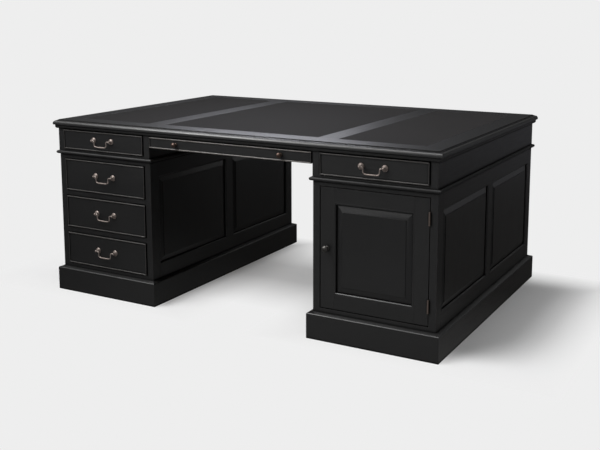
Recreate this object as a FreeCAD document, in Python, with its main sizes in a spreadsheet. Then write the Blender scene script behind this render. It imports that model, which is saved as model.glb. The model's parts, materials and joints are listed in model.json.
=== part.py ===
import FreeCAD, Part
import Sketcher
import os

# A partners desk: a moulded top on a frieze of drawers, carried by two panelled
# pedestals on moulded plinths.  X runs along the desk, Y from front to back, Z up;
# the origin is on the floor under its centre.  The desk is the same from both long
# sides: a half turn about Z puts every piece of one side onto the other.

# Driving sizes in millimetres: alias, value, meaning
SIZES = (
    ("desk_length", 1830, "over the moulded edge of the top"),
    ("desk_depth", 1220, "over the moulded edge of the top"),
    ("desk_height", 774, "floor to writing surface"),

    ("top_thickness", 23, "top board"),
    ("top_overhang", 20, "edge of the top beyond the pedestal faces"),
    ("ovolo_radius", 12, "large round of the top's edge"),
    ("edge_under_radius", 2.5, "small round under the top's edge"),
    ("ledge_inset", 12.5, "first step of the edge, from the outermost line"),
    ("ledge_rise", 2, "height of that step"),
    ("quirk_inset", 18, "second step, where the flat top starts"),
    ("quirk_rise", 2.5, "height of the second step"),
    ("border_width", 100, "wooden border round the leathers"),
    ("crossband_width", 88, "wooden band between two leathers"),
    ("centre_leather_length", 736, "middle leather along the desk"),
    ("leather_thickness", 1.5, "writing leathers"),
    ("leather_sink", 0.1, "leather below the wood round it"),
    ("leather_fit", 0.2, "gap round a leather in its well"),

    ("bed_thickness", 16, "moulded frame under the top"),
    ("bed_inset", 7, "bed moulding behind the edge of the top"),
    ("bed_width", 70, "width of the bed frame's boards"),
    ("bed_radius", 8, "round under the bed moulding"),

    ("frieze_height", 99, "drawer layer between pedestals and top"),
    ("frieze_proud", 5, "frieze in front of the pedestal faces"),
    ("frieze_floor", 9, "floor board under a frieze drawer"),
    ("centre_rail_height", 50, "rail between the two centre drawers"),

    ("pedestal_width", 505, "over the frame"),
    ("post_width", 29, "corner post seen from the front"),
    ("post_depth", 50, "corner post seen from the side"),
    ("frame_thickness", 22, "side rails, muntins and door frames"),
    ("side_top_rail", 77, "height of the upper side rail"),
    ("side_bottom_rail", 58, "height of the lower side rail"),
    ("muntin_width", 46, "upright between two side panels"),
    ("face_top_rail", 32, "rail over the top drawer and the door"),
    ("face_bottom_rail", 17, "rail and floor at the foot of the pedestal"),
    ("drawer_rail", 22, "rail between two pedestal drawers"),
    ("inner_board", 18, "partitions, pedestal tops, shelves and runners"),

    ("plinth_height", 108, "floor to the foot of the pedestal"),
    ("plinth_projection", 20, "plinth in front of the pedestal faces"),
    ("plinth_thickness", 36, "plinth boards"),
    ("plinth_slope", 7, "fall of the sloping shoulder"),
    ("plinth_arris", 5, "round below the shoulder"),

    ("astragal_height", 14, "half-round moulding under the frieze"),
    ("astragal_projection", 12, "in front of the pedestal faces"),
    ("astragal_radius", 6.5, "round of its nose"),

    ("panel_moulding", 9, "width and depth of the mould round a panel"),
    ("panel_moulding_radius", 7, "round of that mould"),
    ("panel_bevel", 25, "width of the sloping margin of a panel"),
    ("panel_field_recess", 1.5, "raised field behind the frame's face"),
    ("panel_field_step", 1.5, "step from the slope to the field"),
    ("panel_back", 8, "panel thickness behind the mould"),

    ("drawer_gap", 3.5, "beside a drawer front"),
    ("drawer_gap_top", 3.5, "over a drawer front"),
    ("drawer_gap_bottom", 2.5, "under a drawer front"),
    ("drawer_front_thickness", 20, "front board"),
    ("drawer_front_proud", 2, "front board in front of the frame"),
    ("bead_width", 5, "cockbead round a drawer front"),
    ("bead_proud", 3.5, "cockbead in front of the board"),
    ("bead_radius", 2.2, "round of the cockbead"),
    ("drawer_back_gap", 43, "back of a drawer box to the board across the middle"),
    ("drawer_box_inset", 6.5, "box side behind the edge of the opening"),
    ("drawer_side", 12, "sides and back of a drawer box"),
    ("drawer_bottom", 6, "bottom board of a drawer"),
    ("drawer_bottom_lift", 6, "bottom board over the foot of the sides"),
    ("pedestal_drawer_side", 112, "height of a pedestal drawer's sides"),
    ("frieze_drawer_side", 66, "height of a frieze drawer's sides"),
    ("centre_drawer_front", 45.5, "height of the centre drawer's front"),
    ("centre_drawer_side", 26, "height of the centre drawer's sides"),
    ("centre_drawer_lift", 14, "its box over the foot of its front"),
    ("centre_drawer_clear", 4.5, "its box beside the dividers"),
    ("runner_clear", 0.3, "under the sides of a drawer"),
    ("guide_clear", 1, "beside the sides of a drawer"),
    ("guide_height", 20, "strip that keeps a drawer straight"),
    ("runner_width", 30, "from the side of the pedestal"),
    ("centre_runner_width", 20, "from the divider"),
    ("centre_runner_height", 11, "under a centre drawer's side"),
    ("centre_runner_setback", 4, "behind the centre drawer's front"),

    ("handle_centres", 96, "between the two posts of a handle"),
    ("handle_rise", 5, "posts over the middle of the front"),
    ("rose_radius", 13, "disc of a handle post"),
    ("rose_thickness", 1.6, "disc of a handle post"),
    ("rose_cone_radius", 11, "foot of the cone on the disc"),
    ("rose_cone_height", 4.4, "cone on the disc"),
    ("post_neck_radius", 4.2, "neck of a handle post"),
    ("post_ball_radius", 6.5, "ball of a handle post"),
    ("bail_reach", 15, "axis of the bail in front of the board"),
    ("bail_rod_radius", 2.75, "rod of the bail"),
    ("bail_grip_radius", 3.4, "middle of its grip"),
    ("bail_pin_radius", 2.2, "pivot of the bail"),
    ("bail_pin_clear", 0.05, "radial clearance of that pivot"),
    ("bail_end_play", 1, "along the pivot, at each end"),
    ("bail_shoulder_gap", 0.4, "rod to ball"),
    ("bail_width", 67, "between the arms' centre lines"),
    ("bail_drop", 26, "axis to the grip's centre line"),
    ("bail_upper_bend", 4.5, "bend from pivot to arm"),
    ("bail_lower_bend", 9, "bend from arm to grip"),

    ("centre_knob_spacing", 502, "between the knobs of a centre drawer"),
    ("centre_knob_radius", 10.5, "head"),
    ("centre_knob_half_height", 6.5, "head, along its axis"),
    ("centre_knob_reach", 14, "middle of the head from the board"),
    ("centre_knob_neck", 4, "neck radius"),
    ("centre_knob_foot", 7.5, "foot radius"),
    ("door_knob_radius", 13.5, "head"),
    ("door_knob_half_height", 8, "head, along its axis"),
    ("door_knob_reach", 18, "middle of the head from the door"),
    ("door_knob_neck", 5, "neck radius"),
    ("door_knob_foot", 9.5, "foot radius"),
    ("knob_foot_thickness", 2, "foot of every knob"),

    ("door_gap", 3, "round a door"),
    ("door_recess", 1, "door behind the frame's face"),
    ("door_frame_width", 57, "stiles and rails of a door"),
    ("door_stop_width", 10, "strip that the door closes on"),
    ("door_stop_depth", 20, "front to back"),
    ("door_stop_clear", 0.3, "closed door to that strip"),
    ("shelf_clear", 1, "round the cupboard shelf"),
    ("shelf_setback", 20, "shelf behind the corner posts"),

    ("hinge_height", 50, "butt hinge"),
    ("hinge_from_end", 74, "middle of a hinge from the door's end"),
    ("hinge_leaf", 1.3, "leaf thickness"),
    ("hinge_leaf_width", 20, "leaf in the gap"),
    ("knuckle_radius", 3.5, "barrel"),
    ("knuckle_stand_off", 0.5, "barrel in front of the frame's face"),
    ("knuckle_gap", 0.3, "between two knuckles"),
    ("hinge_pin_radius", 1.5, "pin"),
    ("hinge_pin_clear", 0.05, "radial clearance of the pin"),
)

doc = FreeCAD.newDocument("partners_desk")
sheet = doc.addObject("Spreadsheet::Sheet", "size")
for row, (alias, value, meaning) in enumerate(SIZES, start=1):
    sheet.set(f"A{row}", meaning)
    sheet.set(f"B{row}", str(value))
    sheet.setAlias(f"B{row}", alias)
doc.recompute()

# Places that several pieces share, as expressions of the sheet
HALF_LENGTH = "size.desk_length / 2"
HALF_DEPTH = "size.desk_depth / 2"
BED_TOP = "(size.desk_height - size.top_thickness)"
BED_FOOT = f"({BED_TOP} - size.bed_thickness)"
PEDESTAL_TOP = f"({BED_FOOT} - size.frieze_height)"
OUTER_X = f"({HALF_LENGTH} - size.top_overhang)"
KNEE_X = f"({OUTER_X} - size.pedestal_width)"
FACE_Y = f"({HALF_DEPTH} - size.top_overhang)"
FRIEZE_Y = f"({FACE_Y} + size.frieze_proud)"
BAY_X = f"({KNEE_X} + size.pedestal_width / 2)"
OPENING_WIDTH = "(size.pedestal_width - 2 * size.post_width)"
OPENING_FOOT = "(size.plinth_height + size.face_bottom_rail)"
OPENING_HEAD = f"({PEDESTAL_TOP} - size.face_top_rail)"
OPENING_HEIGHT = f"({OPENING_HEAD} - {OPENING_FOOT})"
DRAWERS_HIGH = 3
DRAWER_HEIGHT = f"(({OPENING_HEIGHT} - {DRAWERS_HIGH - 1} * size.drawer_rail) / {DRAWERS_HIGH})"
FRONT_BACK = "(size.drawer_front_thickness - size.drawer_front_proud)"

NODES = []


def bind(item, expressions):
    for path, expression in expressions.items():
        item.setExpression(path, expression)
    return item


def place(item, x="0", y="0", z="0"):
    return bind(item, {".Placement.Base.x": x, ".Placement.Base.y": y, ".Placement.Base.z": z})


def board(name, x, y, z):
    """A straight board from its lower and upper faces along each axis."""
    block = doc.addObject("Part::Box", name)
    for side, (low, high) in zip(("Length", "Width", "Height"), (x, y, z)):
        block.setExpression(side, f"({high}) - ({low})")
    return place(block, x[0], y[0], z[0])


def centred(middle, width):
    return (f"{middle} - ({width}) / 2", f"{middle} + ({width}) / 2")


def group(name, pieces, x="0", y="0", z="0", turn=0):
    """The pieces set at a place and turned about the vertical."""
    compound = doc.addObject("Part::Compound", name)
    compound.Links = pieces
    compound.Placement = FreeCAD.Placement(FreeCAD.Vector(), FreeCAD.Rotation(turn, 0, 0))
    return place(compound, x, y, z)


def node(name, pieces, **where):
    piece = group(name, pieces, **where)
    piece.Label = name
    NODES.append(piece)
    return piece


def fused(name, pieces):
    whole = doc.addObject("Part::MultiFuse", name)
    whole.Shapes = pieces
    whole.Refine = True
    return whole


def rod(name, radius, length, rotation=FreeCAD.Rotation(), **where):
    bar = doc.addObject("Part::Cylinder", name)
    bar.Placement.Rotation = rotation
    bind(bar, {"Radius": radius, "Height": length})
    return place(bar, **where)


def taper(name, foot_radius, head_radius, length, rotation=FreeCAD.Rotation(), **where):
    cone = doc.addObject("Part::Cone", name)
    cone.Placement.Rotation = rotation
    bind(cone, {"Radius1": foot_radius, "Radius2": head_radius, "Height": length})
    return place(cone, **where)


ALONG_X = FreeCAD.Rotation(FreeCAD.Vector(0, 1, 0), 90)
OUTWARD = FreeCAD.Rotation(FreeCAD.Vector(1, 0, 0), 90)


# Sketches and features

def plane_of(body, role):
    return next(item for item in body.Origin.OriginFeatures if item.Role == role)


def new_sketch(body, name, plane="XY_Plane", level=None, shift=None):
    sketch = body.newObject("Sketcher::SketchObject", name)
    sketch.AttachmentSupport = [(plane_of(body, plane), "")]
    sketch.MapMode = "FlatFace"
    if level:
        sketch.setExpression(".AttachmentOffset.Base.z", level)
    if shift:
        sketch.setExpression(".AttachmentOffset.Base.x", shift)
    return sketch


def add_polygon(sketch, points):
    corners = [FreeCAD.Vector(u, v, 0) for u, v in points]
    first = sketch.GeometryCount
    for start, end in zip(corners, corners[1:] + corners[:1]):
        sketch.addGeometry(Part.LineSegment(start, end), False)
    lines = list(range(first, sketch.GeometryCount))
    for line, following in zip(lines, lines[1:] + lines[:1]):
        join(sketch, "Coincident", line, 2, following, 1)
    return lines


def join(sketch, kind, *parts):
    return sketch.addConstraint(Sketcher.Constraint(kind, *parts))


def measure(sketch, kind, expression, *parts):
    index = join(sketch, kind, *parts, 1.0)
    name = f"d{index}"
    sketch.renameConstraint(index, name)
    sketch.setExpression(f"Constraints.{name}", expression)


ORIGIN = (-1, 1)


def add_rectangle(sketch, width, height):
    """A rectangle centred on the sketch's origin."""
    foot, right, head, left = add_polygon(sketch, [(-9, -9), (9, -9), (9, 9), (-9, 9)])
    join(sketch, "Horizontal", foot)
    join(sketch, "Horizontal", head)
    join(sketch, "Vertical", right)
    join(sketch, "Vertical", left)
    join(sketch, "Symmetric", foot, 1, head, 1, *ORIGIN)
    measure(sketch, "DistanceX", width, foot, 1, foot, 2)
    measure(sketch, "DistanceY", height, right, 1, right, 2)


def add_mitred_outline(sketch, outer, width):
    """A mitred strip seen from above: the long edge on the X axis, the short one behind."""
    front, right, back, left = add_polygon(sketch, [(-30, 0), (30, 0), (20, 9), (-20, 9)])
    join(sketch, "Horizontal", back)
    join(sketch, "Symmetric", front, 1, front, 2, *ORIGIN)
    join(sketch, "Horizontal", front)
    measure(sketch, "DistanceX", outer, front, 1, front, 2)
    measure(sketch, "DistanceX", f"({outer}) - 2 * ({width})", back, 2, back, 1)
    measure(sketch, "DistanceX", width, front, 1, back, 2)
    measure(sketch, "DistanceY", width, right, 1, right, 2)


def pad(body, sketch, length, back=False):
    feature = body.newObject("PartDesign::Pad", "Pad")
    feature.Profile = sketch
    feature.Reversed = back
    feature.setExpression("Length", length)
    doc.recompute()
    return feature


def pocket(body, sketch, length):
    feature = body.newObject("PartDesign::Pocket", "Pocket")
    feature.Profile = sketch
    feature.setExpression("Length", length)
    doc.recompute()
    return feature


def edges_where(feature, test):
    return [f"Edge{i}" for i, edge in enumerate(feature.Shape.Edges, start=1) if test(edge.BoundBox)]


def rounded(body, feature, radius, test):
    fillet = body.newObject("PartDesign::Fillet", "Fillet")
    fillet.Base = (feature, edges_where(feature, test))
    fillet.setExpression("Radius", radius)
    doc.recompute()
    return fillet


def sloped(body, feature, across, down, test):
    chamfer = body.newObject("PartDesign::Chamfer", "Chamfer")
    chamfer.Base = (feature, edges_where(feature, test))
    chamfer.ChamferType = "Two distances"
    bind(chamfer, {"Size": across, "Size2": down})
    doc.recompute()
    return chamfer


TOUCH = 1e-4


def near(value, target):
    return abs(value - target) < TOUCH


def flat(box):
    return near(box.ZMin, box.ZMax)


def new_body(name):
    return doc.addObject("PartDesign::Body", name)


def mitred_strip(name, outer, width, height):
    """A strip with mitred ends: its moulded face at Y 0, standing on Z 0."""
    body = new_body(name)
    sketch = new_sketch(body, f"{name}_plan")
    add_mitred_outline(sketch, outer, width)
    return body, pad(body, sketch, height)


def ring(name, width, height, rim, depth, plane="XZ_Plane", back=True):
    """A rectangular frame round the body's origin, seen from the front."""
    body = new_body(name)
    sketch = new_sketch(body, f"{name}_outline", plane)
    add_rectangle(sketch, width, height)
    add_rectangle(sketch, f"({width}) - 2 * ({rim})", f"({height}) - 2 * ({rim})")
    return body, pad(body, sketch, depth, back)


def frame_of_strips(name, make, length, depth, z):
    """Four mitred strips round a rectangle: two along X and two along Y."""
    along = make(f"{name}_long", length)
    across = make(f"{name}_short", depth)
    return [
        group(f"{name}_front", [along], y=f"-({depth}) / 2", z=z),
        group(f"{name}_right", [across], x=f"({length}) / 2", z=z, turn=90),
        group(f"{name}_back", [along], y=f"({depth}) / 2", z=z, turn=180),
        group(f"{name}_left", [across], x=f"-({length}) / 2", z=z, turn=270),
    ]


# The top

WELL_DEPTH = "(size.leather_thickness + size.leather_sink)"
SIDE_LEATHER = (f"({HALF_LENGTH} - size.border_width - size.crossband_width"
                " - size.centre_leather_length / 2)")
SIDE_LEATHER_X = f"({HALF_LENGTH} - size.border_width - {SIDE_LEATHER} / 2)"
LEATHER_DEPTH = "(size.desk_depth - 2 * size.border_width)"
LEATHERS = (
    ("left_leather", f"-{SIDE_LEATHER_X}", SIDE_LEATHER),
    ("centre_leather", "0", "size.centre_leather_length"),
    ("right_leather", SIDE_LEATHER_X, SIDE_LEATHER),
)


def make_top_board():
    body = new_body("top_board_body")
    slab_height = "(size.top_thickness - size.ledge_rise - size.quirk_rise)"
    outline = new_sketch(body, "top_outline")
    add_rectangle(outline, "size.desk_length", "size.desk_depth")
    slab = pad(body, outline, slab_height)
    head = slab.Shape.BoundBox.ZMax
    slab = rounded(body, slab, "size.ovolo_radius", lambda box: flat(box) and near(box.ZMin, head))
    slab = rounded(body, slab, "size.edge_under_radius", lambda box: flat(box) and near(box.ZMin, 0))
    level = slab_height
    for inset, rise in (("ledge_inset", "ledge_rise"), ("quirk_inset", "quirk_rise")):
        step = new_sketch(body, f"{rise}_outline", level=level)
        add_rectangle(step, f"size.desk_length - 2 * size.{inset}",
                      f"size.desk_depth - 2 * size.{inset}")
        pad(body, step, f"size.{rise}")
        level = f"({level} + size.{rise})"
    for name, x, length in LEATHERS:
        well = new_sketch(body, f"{name}_well", level=level, shift=x)
        add_rectangle(well, length, LEATHER_DEPTH)
        pocket(body, well, WELL_DEPTH)
    node("top_board", [body], z=BED_TOP)


def make_leathers():
    foot = f"(size.desk_height - {WELL_DEPTH})"
    for name, x, length in LEATHERS:
        sheet_of_leather = board(
            f"{name}_sheet",
            centred(x, f"{length} - 2 * size.leather_fit"),
            centred("0", f"{LEATHER_DEPTH} - 2 * size.leather_fit"),
            (foot, f"{foot} + size.leather_thickness"),
        )
        node(name, [sheet_of_leather])


def make_bed_moulding():
    def strip(name, outer):
        body, feature = mitred_strip(name, outer, "size.bed_width", "size.bed_thickness")
        rounded(body, feature, "size.bed_radius", lambda box: near(box.YMax, 0) and near(box.ZMax, 0))
        return body

    strips = frame_of_strips(
        "bed", strip, "(size.desk_length - 2 * size.bed_inset)",
        "(size.desk_depth - 2 * size.bed_inset)", BED_FOOT)
    node("bed_moulding", strips)


# The frieze

DIVIDER_X = f"({KNEE_X} + size.inner_board)"
END_X = f"({OUTER_X} - size.frame_thickness)"
BAY_LEFT = f"({KNEE_X} + size.post_width)"
BAY_RIGHT = f"({OUTER_X} - size.post_width)"
FRIEZE_BACK = f"({FRIEZE_Y} - size.post_depth)"
FRIEZE_FLOOR = f"({PEDESTAL_TOP} + size.frieze_floor)"
PARTITION_Y = "size.inner_board / 2"
BOX_SIDE = f"({OPENING_WIDTH} / 2 - size.drawer_box_inset)"
GUIDE_LEFT = f"({BAY_X} - {BOX_SIDE} - size.guide_clear)"
GUIDE_RIGHT = f"({BAY_X} + {BOX_SIDE} + size.guide_clear)"


def both_ways(name, pieces):
    """The pieces, and the same pieces a half turn round."""
    return [group(f"{name}_as_built", pieces), group(f"{name}_turned", pieces, turn=180)]


def corner_posts(name, face, height):
    """Four posts of the right-hand bay, front and back."""
    front = (f"-{face}", f"size.post_depth - {face}")
    back = (f"{face} - size.post_depth", face)
    posts = []
    for x_name, x in (("knee", (KNEE_X, BAY_LEFT)), ("end", (BAY_RIGHT, OUTER_X))):
        posts.append(board(f"{name}_{x_name}_front", x, front, height))
        posts.append(board(f"{name}_{x_name}_back", x, back, height))
    return posts


def make_frieze_frame():
    height = (PEDESTAL_TOP, BED_FOOT)
    depth = (f"-{FRIEZE_BACK}", FRIEZE_BACK)
    bay = corner_posts("frieze_post", FRIEZE_Y, height)
    bay.append(board("frieze_end", (END_X, OUTER_X), depth, height))
    bay.append(board("frieze_divider", (KNEE_X, DIVIDER_X), depth, height))
    node("frieze_frame", both_ways("frieze_frame", bay))


def make_frieze_boards():
    half_bay = (f"-{FRIEZE_BACK}", f"-{PARTITION_Y}")
    guide = (FRIEZE_FLOOR, f"{FRIEZE_FLOOR} + size.guide_height")
    floor = board("frieze_floor", (BAY_LEFT, BAY_RIGHT), (f"-{FRIEZE_Y}", FRIEZE_Y),
                  (PEDESTAL_TOP, FRIEZE_FLOOR))
    partition = board("frieze_partition", (DIVIDER_X, END_X), centred("0", "size.inner_board"),
                      (FRIEZE_FLOOR, BED_FOOT))
    guides = []
    for side, x in (("knee", (DIVIDER_X, GUIDE_LEFT)), ("end", (GUIDE_RIGHT, END_X))):
        front = board(f"frieze_guide_{side}", x, half_bay, guide)
        back = board(f"frieze_guide_{side}_back", x, (PARTITION_Y, FRIEZE_BACK), guide)
        guides += [front, back]
    runner_head = f"({CENTRE_FOOT} + size.centre_drawer_lift - size.runner_clear)"
    runner_front = f"size.centre_runner_setback + {FRONT_BACK} - {FRIEZE_Y}"
    runner_height = (f"{runner_head} - size.centre_runner_height", runner_head)
    runner_depth = (runner_front, f"-{PARTITION_Y}")
    runners = []
    for side, x in (("right", (f"{KNEE_X} - size.centre_runner_width", KNEE_X)),
                    ("left", (f"-{KNEE_X}", f"size.centre_runner_width - {KNEE_X}"))):
        runners.append(board(f"centre_runner_{side}", x, runner_depth, runner_height))
    rail = board("centre_rail", (f"-{KNEE_X}", KNEE_X), centred("0", "size.inner_board"),
                 (f"{BED_FOOT} - size.centre_rail_height", BED_FOOT))
    half = [floor, partition, *guides, *runners]
    node("frieze_boards", both_ways("frieze_boards", half) + [rail])


# The pedestals, drawn as the right-hand one: cupboard in front, drawers behind

SIDE_END_Y = f"({FACE_Y} - size.post_depth)"
PANEL_FOOT = "(size.plinth_height + size.side_bottom_rail)"
PANEL_HEAD = f"({PEDESTAL_TOP} - size.side_top_rail)"
SIDE_PANEL_WIDTH = f"({SIDE_END_Y} - size.muntin_width / 2)"
SIDE_PANEL_HEIGHT = f"({PANEL_HEAD} - {PANEL_FOOT})"
SIDE_PANEL_Y = f"({SIDE_PANEL_WIDTH} / 2 + size.muntin_width / 2)"
SIDE_PANEL_Z = f"({PANEL_FOOT} + {SIDE_PANEL_HEIGHT} / 2)"
KNEE_BOARD_X = f"({KNEE_X} + size.frame_thickness)"
CARCASE_HEAD = f"({PEDESTAL_TOP} - size.inner_board)"
PEDESTALS = (("right", 0), ("left", 180))


def on_each_side(name, piece):
    """A front-facing piece put in the four panel openings of a pedestal's two sides."""
    placed = []
    for side, x, turn in (("end", OUTER_X, 90), ("knee", KNEE_X, 270)):
        for part, y in (("front", f"-{SIDE_PANEL_Y}"), ("back", SIDE_PANEL_Y)):
            placed.append(group(f"{name}_{side}_{part}", [piece], x=x, y=y, z=SIDE_PANEL_Z, turn=turn))
    return placed


def panel(name, width, height):
    """A raised and fielded panel round the origin; the frame's face is Y 0."""
    inner = [f"({span}) - 2 * size.panel_moulding" for span in (width, height)]
    field = [f"({span}) - 2 * size.panel_bevel" for span in inner]
    slope_foot = "size.panel_moulding"
    slope_head = "(size.panel_field_recess + size.panel_field_step)"
    back = board(f"{name}_back", centred("0", width), (slope_foot, f"{slope_foot} + size.panel_back"),
                 centred("0", height))
    slope = doc.addObject("Part::Wedge", f"{name}_slope")
    bind(slope, {
        "Xmin": f"-({field[0]}) / 2", "Xmax": f"({field[0]}) / 2",
        "Zmin": f"-({field[1]}) / 2", "Zmax": f"({field[1]}) / 2",
        "X2min": f"-({inner[0]}) / 2", "X2max": f"({inner[0]}) / 2",
        "Z2min": f"-({inner[1]}) / 2", "Z2max": f"({inner[1]}) / 2",
        "Ymin": slope_head, "Ymax": slope_foot,
    })
    raised = board(f"{name}_field", centred("0", field[0]), ("size.panel_field_recess", slope_head),
                   centred("0", field[1]))
    return fused(name, [back, slope, raised])


def inside(box, outline):
    """Whether a box keeps off all four sides of an outline, seen from the front."""
    return (outline.XMin + TOUCH < box.XMin and box.XMax < outline.XMax - TOUCH
            and outline.ZMin + TOUCH < box.ZMin and box.ZMax < outline.ZMax - TOUCH)


def panel_mould(name, width, height):
    """The rounded mould that runs round a panel, inside its frame."""
    body, feature = ring(name, width, height, "size.panel_moulding", "size.panel_moulding")
    outline = feature.Shape.BoundBox
    rounded(body, feature, "size.panel_moulding_radius",
            lambda box: near(box.YMin, 0) and near(box.YMax, 0) and inside(box, outline))
    return body


def make_pedestal_frames():
    side = (f"-{SIDE_END_Y}", SIDE_END_Y)
    pieces = corner_posts("pedestal_post", FACE_Y, ("size.plinth_height", PEDESTAL_TOP))
    for name, x in (("end", (END_X, OUTER_X)), ("knee", (KNEE_X, KNEE_BOARD_X))):
        pieces.append(board(f"{name}_top_rail", x, side, (PANEL_HEAD, PEDESTAL_TOP)))
        pieces.append(board(f"{name}_bottom_rail", x, side, ("size.plinth_height", PANEL_FOOT)))
        pieces.append(board(f"{name}_muntin", x, centred("0", "size.muntin_width"),
                            (PANEL_FOOT, PANEL_HEAD)))
    width = (BAY_LEFT, BAY_RIGHT)
    front = (f"-{FACE_Y}", f"-{SIDE_END_Y}")
    back = (SIDE_END_Y, FACE_Y)
    for name, y in (("front", front), ("back", back)):
        pieces.append(board(f"{name}_head_rail", width, y, (OPENING_HEAD, PEDESTAL_TOP)))
        pieces.append(board(f"{name}_foot_rail", width, y, ("size.plinth_height", OPENING_FOOT)))
    for number in range(1, DRAWERS_HIGH):
        head = drawer_foot(number)
        pieces.append(board(f"drawer_rail_{number}", width, back, (f"{head} - size.drawer_rail", head)))
    mould = panel_mould("side_mould", SIDE_PANEL_WIDTH, SIDE_PANEL_HEIGHT)
    pieces += on_each_side("side_mould", mould)
    for name, turn in PEDESTALS:
        node(f"{name}_pedestal_frame", pieces, turn=turn)


def make_side_panels():
    panels = on_each_side("side_panel", panel("side_panel", SIDE_PANEL_WIDTH, SIDE_PANEL_HEIGHT))
    for name, turn in PEDESTALS:
        node(f"{name}_side_panels", panels, turn=turn)


def drawer_foot(number):
    """Foot of a pedestal drawer's opening, counted from the lowest, which is 0."""
    return f"({OPENING_FOOT} + {number} * ({DRAWER_HEIGHT} + size.drawer_rail))"


def make_carcase_boards():
    inside = (KNEE_BOARD_X, END_X)
    side = (f"-{SIDE_END_Y}", SIDE_END_Y)
    drawer_side = (PARTITION_Y, SIDE_END_Y)
    pieces = [
        board("pedestal_floor", inside, side, ("size.plinth_height", OPENING_FOOT)),
        board("pedestal_head", inside, side, (CARCASE_HEAD, PEDESTAL_TOP)),
        board("pedestal_partition", inside, centred("0", "size.inner_board"),
              (OPENING_FOOT, CARCASE_HEAD)),
    ]
    for number in range(DRAWERS_HIGH):
        foot = drawer_foot(number)
        guide = (foot, f"{foot} + size.guide_height")
        pieces.append(board(f"guide_knee_{number}", (KNEE_BOARD_X, GUIDE_LEFT), drawer_side, guide))
        pieces.append(board(f"guide_end_{number}", (GUIDE_RIGHT, END_X), drawer_side, guide))
    knee_runner = (KNEE_BOARD_X, f"{KNEE_BOARD_X} + size.runner_width")
    end_runner = (f"{END_X} - size.runner_width", END_X)
    for number in range(1, DRAWERS_HIGH):
        foot = drawer_foot(number)
        runner = (f"{foot} - size.inner_board", foot)
        pieces.append(board(f"runner_knee_{number}", knee_runner, drawer_side, runner))
        pieces.append(board(f"runner_end_{number}", end_runner, drawer_side, runner))
    pieces += cupboard_pieces()
    for name, turn in PEDESTALS:
        node(f"{name}_carcase_boards", pieces, turn=turn)


def cupboard_pieces():
    shelf_foot = f"({OPENING_FOOT} + ({CARCASE_HEAD} - {OPENING_FOOT}) / 2)"
    depth = (f"size.shelf_setback - {SIDE_END_Y}", f"-{PARTITION_Y} - size.shelf_clear")
    cleat = (f"{shelf_foot} - size.inner_board", shelf_foot)
    stop_front = f"(size.door_recess + size.frame_thickness + size.door_stop_clear - {FACE_Y})"
    return [
        board("shelf", (f"{KNEE_BOARD_X} + size.shelf_clear", f"{END_X} - size.shelf_clear"), depth,
              (shelf_foot, f"{shelf_foot} + size.inner_board")),
        board("cleat_knee", (KNEE_BOARD_X, f"{KNEE_BOARD_X} + size.inner_board"), depth, cleat),
        board("cleat_end", (f"{END_X} - size.inner_board", END_X), depth, cleat),
        board("door_stop", (BAY_LEFT, f"{BAY_LEFT} + size.door_stop_width"),
              (stop_front, f"{stop_front} + size.door_stop_depth"), (OPENING_FOOT, OPENING_HEAD)),
    ]


def make_plinths():
    def strip(name, outer):
        body, feature = mitred_strip(name, outer, "size.plinth_thickness", "size.plinth_height")
        head = feature.Shape.BoundBox.ZMax
        feature = sloped(body, feature, "size.plinth_slope", "size.plinth_projection",
                         lambda box: flat(box) and near(box.ZMin, head) and near(box.YMax, 0))
        arris = min(vertex.Z for vertex in feature.Shape.Vertexes if vertex.Z > head / 2)
        rounded(body, feature, "size.plinth_arris", lambda box: flat(box) and near(box.ZMin, arris))
        return body

    strips = frame_of_strips(
        "plinth", strip, "(size.pedestal_width + 2 * size.plinth_projection)",
        f"(2 * ({FACE_Y} + size.plinth_projection))", "0")
    for name, turn, x in (("right", 0, BAY_X), ("left", 180, f"-{BAY_X}")):
        node(f"{name}_plinth", strips, x=x, turn=turn)


def make_astragals():
    def strip(name, outer):
        body, feature = mitred_strip(name, outer, "size.astragal_projection", "size.astragal_height")
        rounded(body, feature, "size.astragal_radius", lambda box: flat(box) and near(box.YMax, 0))
        return body

    strips = frame_of_strips(
        "astragal", strip, "(size.pedestal_width + 2 * size.astragal_projection)",
        f"(2 * ({FACE_Y} + size.astragal_projection))", f"{PEDESTAL_TOP} - size.astragal_height")
    for name, turn, x in (("right", 0, BAY_X), ("left", 180, f"-{BAY_X}")):
        node(f"{name}_astragal", strips, x=x, turn=turn)


# The drawers: the middle of the opening is X 0, its foot Z 0 and the frame's face Y 0

def front_height(opening):
    return f"({opening} - size.drawer_gap_bottom - size.drawer_gap_top)"


PEDESTAL_FRONT = front_height(DRAWER_HEIGHT)
FRIEZE_FRONT = front_height("(size.frieze_height - size.frieze_floor)")
SIDE_FRONT_WIDTH = f"({OPENING_WIDTH} - 2 * size.drawer_gap)"
CENTRE_FRONT_WIDTH = f"(2 * ({KNEE_X} - size.drawer_gap))"
CENTRE_FOOT = f"({BED_FOOT} - size.drawer_gap_top - size.centre_drawer_front)"


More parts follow.
